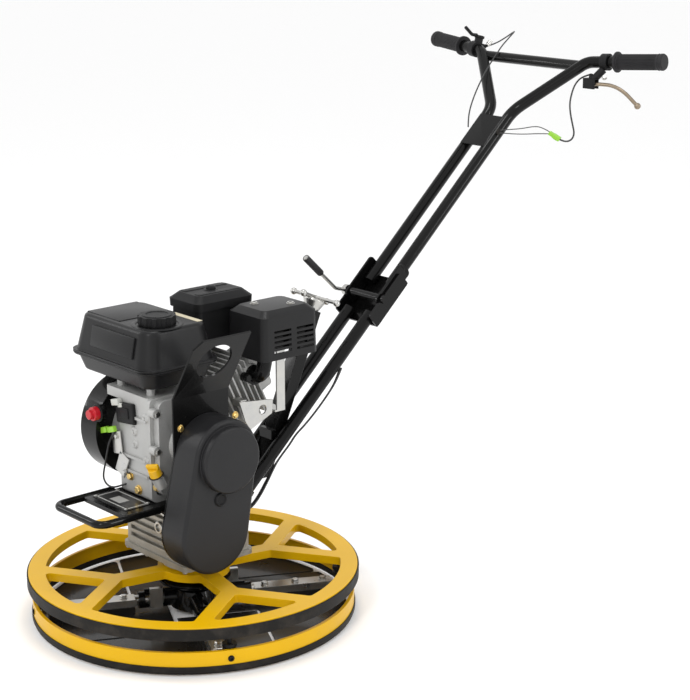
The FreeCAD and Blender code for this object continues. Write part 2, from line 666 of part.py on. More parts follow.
def upper_handle():
    """Twin tubes that spread into handlebars, with the joining plate, the cross tube and the hinge's cheeks."""
    pieces = []
    bores = []
    for side in (-1, 1):
        def at(point, side=side):
            return Vector(side * point.x, point.y, point.z)
        points = [at(on_line(78, 0, TUBE_X)), at(on_line(546, 0, TUBE_X)), at(BAR_BEND),
                  at(GRIP_IN + (GRIP_OUT - GRIP_IN) * 0.97)]
        pieces.append(sweep(points, [60, 40], TUBE_R - 0.5))
        bores.append(sweep(points, [60, 40], TUBE_R - 2.5))
        cheek = handle_block(42.5, 46.5, 26, 124, -10, 23, 8)
        cheek = cheek.cut(rod(PIN - X * 80, X, 6.05, 160))
        link = handle_block(TUBE_X, 45, 86, 116, -5, 5)
        pieces.extend([cheek, link] if side > 0 else [mirrored(cheek), mirrored(link)])
    body = fuse(pieces)
    for bore in bores:
        body = body.cut(bore)
    top_plate = handle_block(-32, 32, 438, 517, 11, 14.5)
    cross = rod(Vector(-136, 910, 970), X, 11, 272)
    cross = cross.cut(pieces[0]).cut(pieces[3])
    return fuse([body, top_plate.cut(bores[0]).cut(bores[1]), cross])


def grips():
    solids = []
    axis = (GRIP_OUT - GRIP_IN)
    length = axis.Length
    for side in (-1, 1):
        start = Vector(side * GRIP_IN.x, GRIP_IN.y, GRIP_IN.z)
        direction = Vector(side * axis.x, axis.y, axis.z)
        grip = rod(start, direction, 16, length).fuse(rod(start, direction, 21, 5))
        solids.append(grip.cut(rod(start - direction * 0.1, direction, TUBE_R - 0.5, length * 1.07)))
    return Part.makeCompound(solids)


def bar_point(x):
    """Point on the handlebar's axis between its bend and the grip."""
    share = (abs(x) - BAR_BEND.x) / (GRIP_IN.x - BAR_BEND.x)
    point = BAR_BEND + (GRIP_IN - BAR_BEND) * share
    return Vector(math.copysign(point.x, x), point.y, point.z)


def lever_perches():
    """Clamps on the handlebars: the thumb throttle's on the left, the stop lever's on the right."""
    axis = (GRIP_OUT - GRIP_IN).normalize()
    left = bar_point(-THROTTLE_X)
    slope = Vector(-axis.x, axis.y, axis.z)
    clamp = tube(left - slope * 9, slope, 17, TUBE_R - 0.45, 18)
    stand = rod(left + Vector(2, 6, 13), Vector(0, 0.3, 1), 9, 10)
    stop = rod(left + Vector(2, 8, 10), CABLE_EXIT - left - Vector(2, 8, 10), 3.5,
               (CABLE_EXIT - left - Vector(2, 8, 10)).Length)
    throttle = fuse([clamp, stand, stop]).cut(rod(left - slope * 40, slope, TUBE_R - 0.45, 80))
    right = bar_point(STOP_X)
    clamp = tube(right - axis * 8, axis, 17, TUBE_R - 0.45, 16)
    arm = rod(Vector(191, 911, 968), Vector(-15, -14, -22), 8, 30)
    body = rounded_box(158, 190, 884, 902, 930, 950, 5)
    cable_stop = rod(Vector(168, 897, 944), Vector(-2, 7, 13), 4, 14.9)
    perch = fuse([clamp, arm, body, cable_stop]).cut(box(176, 192, 887.5, 899, 925, 949))
    perch = perch.cut(rod(right - axis * 40, axis, TUBE_R - 0.45, 80))
    return Part.makeCompound([throttle, perch])


def throttle_lever():
    centre = bar_point(-THROTTLE_X) + Vector(2, 6, 13) + Vector(0, 0.3, 1).normalize() * 10.4
    disc = rod(centre, Vector(0, 0.3, 1), 11, 5)
    thumb = sweep([centre + Vector(0, -8, 7), centre + Vector(2, -24, 9), centre + Vector(4, -46, 26)], [16], 3.6)
    return disc.fuse(thumb).removeSplitter()


def stop_lever():
    """The silver blade: pivots in the perch's slot and sweeps out below the grip to a ball end."""
    lever = sweep([STOP_PIVOT, Vector(248, 891, 942), Vector(295, 895, 906)], [90], 3.8)
    hub = rod(STOP_PIVOT - STOP_AXIS * 3, STOP_AXIS, 4.6, 6)
    return lever.fuse([hub, Part.makeSphere(6.5, Vector(295, 895, 906))]).removeSplitter()


# Pitch control -------------------------------------------------------------------------------

def pitch_post():
    length = 326.0
    post = box(-15, 15, -13, 13, 0, length).cut(box(-12, 12, -10, 10, 3, length - 3))
    post.translate(Z * -length)
    post.rotate(O, X, -math.degrees(math.atan2(POST_DIR.y, POST_DIR.z)))
    post.translate(POST_TOP)
    foot = box(-14, 14, 84, 176, 226, 236)
    tie_at = on_line(-296, 0)
    tie = box(-18, 18, tie_at.y - 22, tie_at.y - 12, tie_at.z - 6, tie_at.z + 14)
    return fuse([post, foot.cut(box(-60, 60, 60, 200, 236, 250)), tie])


def pitch_handle():
    """A four-armed cross with ball ends on a cup-shaped hub, turned about the post's axis."""
    cup = Part.makeCone(14, 22, 18, O).fuse(rod(Z * 18, Z, 22, 5)).fuse(rod(Z * 23, Z, 8, 6))
    pieces = [cup]
    for k in range(4):
        arm = rod(Z * 25, X, 4, 48).fuse(Part.makeSphere(7, Vector(49, 0, 25)))
        pieces.append(turned(arm, 18.5 + 90 * k))
    cross = fuse(pieces)
    cross.Placement = FreeCAD.Placement(POST_TOP + POST_DIR * 0.3, FreeCAD.Rotation(Z, POST_DIR))
    return cross


# Cords ---------------------------------------------------------------------------------------

def throttle_cable():
    """From the thumb throttle up into a tight loop, then down to a hole in the left-hand tube."""
    points = [CABLE_EXIT, Vector(-154, 960, 992), Vector(-147, 978, 1002), Vector(-139, 989, 1011),
              Vector(-125, 986, 1018), Vector(-113, 970, 1017), Vector(-110, 948, 1004),
              Vector(-103, 923, 992), Vector(-91, 897, 980), Vector(-82, 858, 952), Vector(-74, 828, 924),
              Vector(-64, 801, 899), Vector(-53, 778, 875), Vector(-45, 766, 856), Vector(-38, 759, 842)]
    return cord(points, 3, "throttle_cable")


def stop_lead():
    points = [Vector(166, 904, 957), Vector(151, 893, 952), Vector(146, 879, 939), Vector(148, 867, 923),
              Vector(151, 857, 901), Vector(157, 854, 879), Vector(162, 856, 858), Vector(165, 859, 840),
              Vector(161, 855, 827), Vector(150, 847, 823), Vector(140, 842, 828)]
    return cord(points, 3.5, "stop_lead")


def stop_wire_upper():
    points = [Vector(121, 833, 842), Vector(107, 824, 851), Vector(94, 814, 852), Vector(76, 798, 847),
              Vector(60, 784, 845), Vector(42, 767, 843)]
    return cord(points, 2, "stop_wire_upper")


def stop_wire_lower():
    points = [Vector(122, 832, 838), Vector(105, 820, 838), Vector(82, 801, 836), Vector(62, 784, 836),
              Vector(42, 765, 838)]
    return cord(points, 2, "stop_wire_lower")


def lower_cable(x, drop, name):
    """A cable that leaves a hole under the right-hand tube, bows below it and runs to the gearbox."""
    route = ((-119, -8), (-134, -15), (-158, -22), (-205, -23), (-249, -20), (-281, -14),
             (-302, -16), (-325, -15), (-350, -15))
    points = [on_line(s, n - drop * min(1, k / 2)) + X * x for k, (s, n) in enumerate(route)]
    points += [Vector(x, 148, 232), Vector(x, 127, 204), Vector(x, 104, 185), Vector(x, 80, 182)]
    return cord(points, 4, name)


def lower_cable_inner():
    return lower_cable(38.5, 0, "lower_cable_inner")


def lower_cable_outer():
    return lower_cable(43.2, -4, "lower_cable_outer")


def engine_lead():
    """Black lead that hangs in front of the crankcase in one long loop."""
    points = [Vector(-72, -120, 360), Vector(-86, -123, 342), Vector(-92, -125, 318), Vector(-98, -126, 294),
              Vector(-107, -125, 273), Vector(-109, -124, 259), Vector(-98, -124, 250), Vector(-80, -124, 250),
              Vector(-64, -121, 256), Vector(-52, -112, 262)]
    return cord(points, 3.5, "engine_lead")


NODES = {
    "upper_ring": upper_ring, "bumper_strip": bumper_strip, "ring_guides": ring_guides,
    "lower_ring": lower_ring, "lower_rubber": lower_rubber, "output_shaft": output_shaft,
    "spider_hub": spider_hub, "pressure_plate": pressure_plate, "gearbox_housing": gearbox_housing,
    "worm_shaft": worm_shaft, "driven_pulley": driven_pulley,
    "base_plate": base_plate, "carry_bar": carry_bar, "hex_bolts": hex_bolts,
    "crankcase": crankcase, "side_cover": side_cover, "dipstick": dipstick,
    "cylinder": cylinder, "blower_housing": blower_housing,
    "recoil_cover": recoil_cover, "crankshaft": crankshaft,
    "clutch_drum": clutch_drum, "tank_lower": tank_lower, "tank_upper": tank_upper, "fuel_cap": fuel_cap,
    "air_cleaner_base": air_cleaner_base, "air_cleaner_cover": air_cleaner_cover,
    "carburetor": carburetor, "muffler": muffler, "muffler_guard": muffler_guard,
    "zinc_brackets": zinc_brackets, "stop_switch": stop_switch, "belt_guard": belt_guard,
    "lift_plate": lift_plate, "belt": belt, "lower_handle": lower_handle, "fold_bracket": fold_bracket,
    "fold_lever": fold_lever, "upper_handle": upper_handle, "grips": grips,
    "lever_perches": lever_perches, "throttle_lever": throttle_lever, "stop_lever": stop_lever,
    "pitch_post": pitch_post, "pitch_handle": pitch_handle, "throttle_cable": throttle_cable,
    "stop_lead": stop_lead, "stop_wire_upper": stop_wire_upper, "stop_wire_lower": stop_wire_lower,
    "lower_cable_inner": lower_cable_inner, "lower_cable_outer": lower_cable_outer,
    "engine_lead": engine_lead,
}


def main():
    os.makedirs("parts", exist_ok=True)
    for name, make in NODES.items():
        make().exportStep("parts/%s.step" % name)
    for k in range(4):
        angle = ARM_ANGLE + 90 * k
        holes = arm_holes()
        turned(blade_arm().cut(holes), angle).exportStep("parts/arm_%d.step" % (k + 1))
        turned(blade(), angle).exportStep("parts/blade_%d.step" % (k + 1))


main()
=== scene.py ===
import math

import bmesh
import bpy
from mathutils import Matrix, Vector


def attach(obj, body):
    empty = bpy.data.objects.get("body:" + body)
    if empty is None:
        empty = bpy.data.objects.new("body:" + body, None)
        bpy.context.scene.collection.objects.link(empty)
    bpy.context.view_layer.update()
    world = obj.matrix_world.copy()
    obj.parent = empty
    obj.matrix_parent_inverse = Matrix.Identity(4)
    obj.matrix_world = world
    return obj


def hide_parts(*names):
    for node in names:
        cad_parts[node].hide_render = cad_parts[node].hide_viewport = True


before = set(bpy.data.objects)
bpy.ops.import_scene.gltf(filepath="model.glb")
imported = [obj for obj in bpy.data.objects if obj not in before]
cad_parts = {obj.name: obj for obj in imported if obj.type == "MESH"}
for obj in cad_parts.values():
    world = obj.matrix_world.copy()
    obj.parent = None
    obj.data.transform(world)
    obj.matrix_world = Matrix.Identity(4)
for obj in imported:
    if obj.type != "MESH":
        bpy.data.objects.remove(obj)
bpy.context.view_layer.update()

# --- The studio -------------------------------------------------------------------------------
# A long lens a little above the engine, looking at the belt-drive side and the front of the machine.
# The machine stands on a plain pale floor under an even white sky, with four soft lights for the gloss.

camera = bpy.data.objects.new("camera", bpy.data.cameras.new("camera"))
bpy.context.collection.objects.link(camera)
camera.location = (2.5854, -1.9201, 1.3842)
turn, dip = math.radians(48.298), math.radians(15.266)
look = Vector((-math.sin(turn) * math.cos(dip), math.cos(turn) * math.cos(dip), -math.sin(dip)))
camera.rotation_euler = look.to_track_quat("-Z", "Y").to_euler()
camera.data.sensor_fit = "HORIZONTAL"
camera.data.sensor_width = 36.0
camera.data.lens = 94.547
camera.data.clip_end = 60.0
bpy.context.scene.camera = camera


class Shade:
    """A socket of a finish; sums and products on it add the Math nodes."""

    def __init__(self, finish, socket):
        self.finish, self.socket = finish, socket

    def _math(self, operation, a, b):
        return self.finish.node("ShaderNodeMath", {"operation": operation}, {0: a, 1: b})

    def __add__(self, other):
        return self._math("ADD", self, other)

    def __radd__(self, other):
        return self._math("ADD", other, self)

    def __sub__(self, other):
        return self._math("SUBTRACT", self, other)

    def __rsub__(self, other):
        return self._math("SUBTRACT", other, self)

    def __mul__(self, other):
        return self._math("MULTIPLY", self, other)

    def __rmul__(self, other):
        return self._math("MULTIPLY", other, self)


class Finish:
    """A paint, plating, casting or plastic, built from nodes round one Principled shader."""

    def __init__(self, name, **constants):
        self.material = bpy.data.materials.new(name)
        self.material.use_nodes = True
        self.tree = self.material.node_tree
        self.shader = self.tree.nodes["Principled BSDF"]
        for key, value in constants.items():
            self.shader.inputs[key.replace("_", " ")].default_value = value
        self.place = self.node("ShaderNodeTexCoord", {}, {}, "Object")

    def node(self, kind, settings, inputs, output=0):
        made = self.tree.nodes.new(kind)
        for key, value in settings.items():
            setattr(made, key, value)
        for key, value in inputs.items():
            if isinstance(value, Shade):
                self.tree.links.new(value.socket, made.inputs[key])
            else:
                made.inputs[key].default_value = value
        return Shade(self, made.outputs[output])

    def grain(self, scale, detail=3.0, roughness=0.5, distortion=0.0, where=None):
        return self.node("ShaderNodeTexNoise", {}, {"Vector": where or self.place, "Scale": scale,
                         "Detail": detail, "Roughness": roughness, "Distortion": distortion})

    def stretched(self, x, y, z):
        return self.node("ShaderNodeMapping", {}, {"Vector": self.place, "Scale": (x, y, z)})

    def steps(self, value, low, high):
        return self.node("ShaderNodeMapRange", {"interpolation_type": "SMOOTHSTEP"},
                         {"Value": value, "From Min": low, "From Max": high})

    def mixed(self, amount, first, second):
        return self.node("ShaderNodeMix", {"data_type": "RGBA"},
                         {0: amount, 6: (*first, 1.0) if isinstance(first, tuple) else first,
                          7: (*second, 1.0) if isinstance(second, tuple) else second}, 2)

    def feed(self, **sockets):
        for key, value in sockets.items():
            self.tree.links.new(value.socket, self.shader.inputs[key.replace("_", " ")])

    def rough_skin(self, height, strength, distance):
        self.feed(Normal=self.node("ShaderNodeBump", {}, {
            "Height": height, "Strength": strength, "Distance": distance}))


floor_finish = Finish("studio_floor")
floor_finish.shader.inputs["Base Color"].default_value = (0.97, 0.97, 0.97, 1)
floor_finish.feed(Roughness=0.8 + 0.1 * floor_finish.grain(3.0))
floor_mesh = bmesh.new()
bmesh.ops.create_grid(floor_mesh, x_segments=1, y_segments=1, size=60.0)
floor_data = bpy.data.meshes.new("studio_floor")
floor_mesh.to_mesh(floor_data)
floor_mesh.free()
floor = bpy.data.objects.new("studio_floor", floor_data)
floor.data.materials.append(floor_finish.material)
floor.location.z = -0.0005
bpy.context.collection.objects.link(floor)

world = bpy.data.worlds.new("studio")
world.use_nodes = True
world.node_tree.nodes["Background"].inputs["Color"].default_value = (1, 1, 1, 1)
world.node_tree.nodes["Background"].inputs["Strength"].default_value = 1.0
bpy.context.scene.world = world
bpy.context.scene.view_settings.view_transform = "Standard"

for name, spot, size, power in (
    ("key_softbox", (1.6, -2.6, 2.6), (0.5, 1.3), 30.0),
    ("left_softbox", (-2.4, -1.6, 1.9), (0.3, 1.8), 16.0),
    ("right_softbox", (2.6, 1.6, 1.9), (0.3, 2.0), 18.0),
    ("top_softbox", (0.0, 0.3, 3.2), (0.7, 0.7), 14.0),
):
    lamp = bpy.data.lights.new(name, "AREA")
    lamp.shape = "RECTANGLE"
    lamp.size, lamp.size_y = size
    lamp.energy = power
    holder = bpy.data.objects.new(name, lamp)
    holder.location = spot
    holder.rotation_euler = (Vector((0, 0.2, 0.4)) - Vector(spot)).to_track_quat("-Z", "Y").to_euler()
    bpy.context.collection.objects.link(holder)

# --- Guard rings ------------------------------------------------------------------------------
# The fixed upper ring is one aluminium casting in thick yellow powder coat, with a hollow underside.
# The lower ring turns freely on four grooved guides and carries a rubber skirt.

yellow_coat = Finish("yellow_powder_coat", Coat_Weight=0.08, Coat_Roughness=0.15, Specular_IOR_Level=0.2)
coat_cloud = yellow_coat.grain(9.0, 4.0)
coat_scuff = yellow_coat.steps(yellow_coat.grain(55.0, 6.0, 0.65), 0.62, 0.72)
coat_colour = yellow_coat.mixed(coat_cloud, (0.66, 0.37, 0.0), (0.74, 0.43, 0.0))
yellow_coat.feed(Base_Color=yellow_coat.mixed(0.25 * coat_scuff, coat_colour, (0.45, 0.26, 0.03)),
                 Roughness=0.30 + 0.16 * coat_scuff + 0.08 * coat_cloud)
yellow_coat.rough_skin(yellow_coat.grain(420.0, 2.0), 0.18, 0.0006)

ring_rubber = Finish("ring_rubber", Specular_IOR_Level=0.15)
# Painted highlight: random brown-grey patches in the rubber's colour stand in for the sheen on the strips,
# and they are rougher where lighter.
rubber_painted_sheen = ring_rubber.steps(ring_rubber.grain(26.0, 5.0, 0.6), 0.42, 0.72)
ring_rubber.feed(Base_Color=ring_rubber.mixed(rubber_painted_sheen, (0.010, 0.009, 0.008), (0.034, 0.029, 0.024)),
                 Roughness=0.48 + 0.25 * rubber_painted_sheen)
ring_rubber.rough_skin(ring_rubber.grain(700.0), 0.3, 0.0006)


SHARP_CORNER = math.radians(32.0)


def finished(node, body, finish, soften, bent=False):
    """The CAD node with its sharp edges broken, in its own finish; a bent tube keeps its facets."""
    mesh = bmesh.new()
    mesh.from_mesh(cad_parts[node].data)
    bmesh.ops.remove_doubles(mesh, verts=mesh.verts, dist=1e-6)
    if not bent:
        bmesh.ops.dissolve_limit(mesh, angle_limit=math.radians(1.0), verts=mesh.verts, edges=mesh.edges)
    data = bpy.data.meshes.new(node + "_finished")
    mesh.to_mesh(data)
    mesh.free()
    data.materials.append(finish.material)
    data.polygons.foreach_set("use_smooth", [True] * len(data.polygons))
    data.set_sharp_from_angle(angle=SHARP_CORNER)
    piece = bpy.data.objects.new(node + "_finished", data)
    bpy.context.collection.objects.link(piece)
    if soften:
        bevel = piece.modifiers.new("broken_edges", "BEVEL")
        bevel.width = soften / 1000
        bevel.segments = 2
        bevel.limit_method = "ANGLE"
        bevel.angle_limit = SHARP_CORNER
    if bent:
        flats = piece.modifiers.new("true_flats", "WEIGHTED_NORMAL")
        flats.keep_sharp, flats.weight = True, 60
    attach(piece, body)
    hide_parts(node)
    return piece


finished("upper_ring", "frame", yellow_coat, 1.6)
finished("bumper_strip", "frame", ring_rubber, 1.2)
finished("lower_ring", "turning_ring", yellow_coat, 0.6)
finished("lower_rubber", "turning_ring", ring_rubber, 0.8)

moulded_black = Finish("moulded_black", Specular_IOR_Level=0.18)
mould_cloud = moulded_black.grain(18.0, 4.0)
moulded_black.feed(Base_Color=moulded_black.mixed(mould_cloud, (0.005, 0.005, 0.005), (0.012, 0.012, 0.013)),
                   Roughness=0.40 + 0.14 * mould_cloud)
moulded_black.rough_skin(moulded_black.grain(1100.0, 2.0), 0.35, 0.0005)
finished("ring_guides", "frame", moulded_black, 0.8)

# --- Rotor ------------------------------------------------------------------------------------
# A black spider with four sockets carries round-shanked arms; each arm bolts to a lacquered steel
# blade. A round pressure plate above it pushes down on the arms' fingers to tilt the blades.

black_enamel = Finish("black_enamel", Coat_Weight=0.2, Coat_Roughness=0.04, Specular_IOR_Level=0.1)
enamel_cloud = black_enamel.grain(14.0, 4.0)
enamel_wear = black_enamel.steps(black_enamel.grain(120.0, 6.0, 0.7), 0.66, 0.76)
black_enamel.feed(Base_Color=black_enamel.mixed(enamel_wear * 0.5, (0.0035, 0.0035, 0.0035),
                                                (0.020, 0.019, 0.018)),
                  Roughness=0.20 + 0.10 * enamel_cloud + 0.12 * enamel_wear)
black_enamel.rough_skin(black_enamel.grain(90.0, 2.0), 0.04, 0.0006)

zinc_plate = Finish("zinc_plate", Metallic=1.0)
zinc_bloom = zinc_plate.grain(38.0, 5.0, 0.6, 0.4)
zinc_plate.feed(Base_Color=zinc_plate.mixed(zinc_bloom, (0.40, 0.41, 0.42), (0.60, 0.58, 0.53)),
                Roughness=0.20 + 0.22 * zinc_bloom)
zinc_plate.rough_skin(zinc_plate.grain(600.0, 3.0), 0.15, 0.0004)

machined_steel = Finish("machined_steel", Metallic=1.0)
tool_marks = machined_steel.grain(40.0, 4.0, 0.6, 0.0, machined_steel.stretched(1, 1, 30))
machined_steel.feed(Base_Color=machined_steel.mixed(tool_marks, (0.30, 0.30, 0.30), (0.50, 0.49, 0.48)),
                    Roughness=0.22 + 0.25 * tool_marks)
machined_steel.rough_skin(tool_marks, 0.1, 0.0004)

blade_lacquer = Finish("blade_lacquer", Coat_Weight=0.3, Coat_Roughness=0.10, Specular_IOR_Level=0.15)
blade_smear = blade_lacquer.grain(7.0, 5.0, 0.55, 0.6)
blade_lacquer.feed(Base_Color=blade_lacquer.mixed(blade_smear, (0.006, 0.006, 0.006), (0.026, 0.024, 0.022)),
                   Roughness=0.16 + 0.26 * blade_smear)
blade_lacquer.rough_skin(blade_lacquer.grain(90.0, 4.0), 0.06, 0.0008)

finished("spider_hub", "rotor", black_enamel, 1.2)
finished("output_shaft", "rotor", machined_steel, 0.0)
finished("pressure_plate", "pressure_collar", black_enamel, 0.8)
for number in range(1, 5):
    finished("arm_%d" % number, "blade_arm_%d" % number, zinc_plate, 1.0)
    finished("blade_%d" % number, "blade_arm_%d" % number, blade_lacquer, 0.8)


def part(name, mesh, body, finish, smooth=35.0):
    """Makes a finished piece out of a bmesh drawn in millimetres."""
    bmesh.ops.scale(mesh, vec=(0.001, 0.001, 0.001), verts=mesh.verts)
    bmesh.ops.recalc_face_normals(mesh, faces=mesh.faces)
    data = bpy.data.meshes.new(name)
    mesh.to_mesh(data)
    mesh.free()
    data.materials.append(finish.material)
    data.polygons.foreach_set("use_smooth", [True] * len(data.polygons))
    data.set_sharp_from_angle(angle=math.radians(smooth))
    piece = bpy.data.objects.new(name, data)
    bpy.context.collection.objects.link(piece)
    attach(piece, body)
    return piece


def facing(spot, direction):
    """The place and turn that put a shape drawn about +Z on a spot, facing a direction."""
    turn = Vector(direction).to_track_quat("Z", "Y")
    return Matrix.Translation(Vector(spot)) @ turn.to_matrix().to_4x4()


def turned_shape(mesh, profile, place, steps=48):
    """Spins a profile of (radius, height) points round an axis and closes it."""
    earlier = set(mesh.verts)
    ring = [mesh.verts.new((radius, 0, height)) for radius, height in profile]
    edges = [mesh.edges.new(pair) for pair in zip(ring, ring[1:])]
    bmesh.ops.spin(mesh, geom=ring + edges, cent=(0, 0, 0), axis=(0, 0, 1), angle=math.tau,
                   steps=steps, use_merge=True)
    bmesh.ops.remove_doubles(mesh, verts=mesh.verts, dist=1e-4)
    bmesh.ops.transform(mesh, matrix=place, verts=[v for v in mesh.verts if v not in earlier])


def screw(mesh, spot, direction, head=6.0, tall=5.0, sides=6, socket=0.0):
    """A screw head with a washer: hexagonal, or round with a hexagon socket."""
    place = facing(spot, direction)
    washer = [(0.01, -0.3), (head * 1.25, -0.3), (head * 1.25, 1.2), (head * 1.15, 1.5), (0.01, 1.5)]
    turned_shape(mesh, washer, place, 24)
    if socket:
        cup = [(0.01, tall - 2.5), (socket, tall - 2.5), (socket, tall), (head - 0.8, tall),
               (head, tall - 0.8), (head, 1.4), (0.01, 1.4)]
        turned_shape(mesh, cup, place, 24)
    else:
        nut = [(0.01, tall), (head * 0.86, tall), (head, tall - 0.9), (head, 1.4), (0.01, 1.4)]
        turned_shape(mesh, nut, place, sides)


ring_screws = bmesh.new()
for number in range(4):
    angle = math.radians(-25 + 90 * number)
    out = Vector((math.cos(angle), math.sin(angle), 0))
    screw(ring_screws, out * 304.0 + Vector((0, 0, 29)), out, head=4.6, tall=3.4, socket=2.2)
part("ring_band_screws", ring_screws, "turning_ring", black_enamel)

arm_screws = [bmesh.new() for number in range(4)]
for number, mesh in enumerate(arm_screws):
    angle = math.radians(62.5 + 90 * number)
    out = Vector((math.cos(angle), math.sin(angle), 0))
    for reach in (136, 196, 250):
        screw(mesh, out * reach + Vector((0, 0, 33)), (0, 0, 1), head=6.5, tall=6.0)
    part("arm_screws_%d" % (number + 1), mesh, "blade_arm_%d" % (number + 1), zinc_plate)

# --- Gearbox ----------------------------------------------------------------------------------
# A ribbed aluminium die casting, left bare, with two plated plugs in its front and the worm's
# shaft and pulley at its side.

cast_skin = Finish("cast_aluminium", Metallic=0.75)
cast_cloud = cast_skin.grain(22.0, 5.0, 0.6)
cast_grit = cast_skin.grain(520.0, 3.0, 0.6)
cast_skin.feed(Base_Color=cast_skin.mixed(cast_cloud, (0.24, 0.23, 0.20), (0.46, 0.44, 0.40)),
               Roughness=0.34 + 0.22 * cast_cloud)
cast_skin.rough_skin(cast_grit, 0.45, 0.0010)
finished("gearbox_housing", "frame", cast_skin, 1.4)

gearbox_fittings = bmesh.new()
for spot, size in (((22, -80, 222), 11.0), ((5, -80, 184), 12.0)):
    rim = [(0.01, 1.0), (size * 0.55, 1.0), (size * 0.62, 4.5), (size * 0.9, 4.5), (size, 3.5),
           (size, 0), (0.01, 0)]
    turned_shape(gearbox_fittings, rim, facing(spot, (0, -1, 0)), 36)
part("gearbox_plugs", gearbox_fittings, "frame", zinc_plate)

finished("worm_shaft", "worm", machined_steel, 0.4)
finished("driven_pulley", "worm", machined_steel, 0.4)

# --- Base plate and carrying bar --------------------------------------------------------------
# A black steel plate under the engine with a bent tube in front of it as a carrying handle, and a
# printed aluminium plate screwed down at its corners, left blank here.

finished("base_plate", "frame", black_enamel, 0.8)
finished("carry_bar", "frame", black_enamel, 0.0, bent=True)

plate_print = Finish("printed_plate", Coat_Weight=0.3)
spot = plate_print.node("ShaderNodeSeparateXYZ", {}, {"Vector": plate_print.place}, "X")
depth = plate_print.node("ShaderNodeSeparateXYZ", {}, {"Vector": plate_print.place}, "Y")


def band(finish, value, low, high, soft=0.0006):
    return finish.steps(value, low - soft, low + soft) * (1.0 - finish.steps(value, high - soft, high + soft))


inside = band(plate_print, spot, -0.073, 0.023) * band(plate_print, depth, -0.166, -0.118)
core = band(plate_print, spot, -0.0705, 0.0205) * band(plate_print, depth, -0.1635, -0.1205)
panel = band(plate_print, spot, -0.045, -0.012) * band(plate_print, depth, -0.156, -0.134)
border = inside * (1.0 - core) + 0.75 * panel
plate_print.feed(Base_Color=plate_print.mixed(border, (0.012, 0.012, 0.012), (0.55, 0.55, 0.53)),
                 Roughness=0.3 + 0.2 * plate_print.grain(80.0))
rating_plate = bmesh.new()
plate_place = Matrix.Translation((-25, -142, 244.6)) @ Matrix.Diagonal((106, 58, 1.2, 1))
bmesh.ops.create_cube(rating_plate, size=1.0, matrix=plate_place)
corners = [e for e in rating_plate.edges if abs(e.verts[0].co.z - e.verts[1].co.z) > 0.5]
bmesh.ops.bevel(rating_plate, geom=corners, offset=4, segments=5, profile=0.5, affect="EDGES", material=-1)
part("rating_plate", rating_plate, "frame", plate_print)
plate_screws = bmesh.new()
for x in (-73, 23):
    for y in (-166, -118):
        screw(plate_screws, (x, y, 245.2), (0, 0, 1), head=2.8, tall=2.2, socket=1.2)
part("rating_plate_screws", plate_screws, "frame", zinc_plate)

# --- Engine castings --------------------------------------------------------------------------
# Bead-blasted aluminium crankcase, side cover, finned barrel and head, with zinc-plated flange bolts.

blasted_alloy = Finish("blasted_alloy", Metallic=0.45)
alloy_cloud = blasted_alloy.grain(16.0, 5.0, 0.6)
alloy_stain = blasted_alloy.steps(blasted_alloy.grain(46.0, 6.0, 0.7), 0.60, 0.78)
alloy_colour = blasted_alloy.mixed(alloy_cloud, (0.34, 0.34, 0.33), (0.50, 0.50, 0.49))
blasted_alloy.feed(Base_Color=blasted_alloy.mixed(0.35 * alloy_stain, alloy_colour, (0.22, 0.21, 0.19)),
                   Roughness=0.42 + 0.20 * alloy_cloud)
blasted_alloy.rough_skin(blasted_alloy.grain(800.0, 3.0, 0.6), 0.35, 0.0007)
finished("crankcase", "frame", blasted_alloy, 1.6)
finished("side_cover", "frame", blasted_alloy, 1.6)
finished("cylinder", "frame", blasted_alloy, 0.7)
finished("carburetor", "frame", cast_skin, 1.2)
finished("hex_bolts", "frame", zinc_plate, 0.5)
finished("zinc_brackets", "frame", zinc_plate, 0.7)

# --- Wiring and bolts on the front of the engine ----------------------------------------------
# A coil in a black case behind a zinc clip, pale plastic connectors on its leads, two brass-coloured
# bolts in the corners of the crankcase's foot and a drain bolt with a washer between them.


def block(mesh, low, high, round_off=1.2, lean=None):
    """A box between two corners with its edges rounded, leaned about its own middle if asked."""
    size = Vector(high) - Vector(low)
    middle = (Vector(high) + Vector(low)) / 2
    made = bmesh.ops.create_cube(mesh, size=1.0, matrix=Matrix.Diagonal((*size, 1)))["verts"]
    edges = list({e for v in made for e in v.link_edges})
    rounded = bmesh.ops.bevel(mesh, geom=edges, offset=round_off, segments=3, profile=0.5,
                              affect="EDGES", material=-1)
    every = {v for f in rounded["faces"] for v in f.verts}
    bmesh.ops.transform(mesh, matrix=Matrix.Translation(middle) @ (lean or Matrix()), verts=list(every))


coil = bmesh.new()
block(coil, (-70, -119, 382), (-14, -110, 421), 3.0, Matrix.Rotation(math.radians(-6), 4, "Y"))
block(coil, (-58, -121, 392), (-28, -117, 412), 1.5, Matrix.Rotation(math.radians(-6), 4, "Y"))
part("ignition_coil", coil, "frame", moulded_black)

pale_plastic = Finish("pale_plastic")
pale_plastic.feed(Base_Color=pale_plastic.mixed(pale_plastic.grain(60.0),
                                                (0.45, 0.46, 0.42), (0.58, 0.58, 0.55)),
                  Roughness=0.34 + 0.12 * pale_plastic.grain(140.0))
white_joint = bmesh.new()
block(white_joint, (-78, -123, 412), (-56, -112, 424), 1.2, Matrix.Rotation(math.radians(-14), 4, "Y"))
block(white_joint, (-60, -121, 411), (-48, -114, 419), 0.8, Matrix.Rotation(math.radians(-14), 4, "Y"))
part("white_connector", white_joint, "frame", pale_plastic)

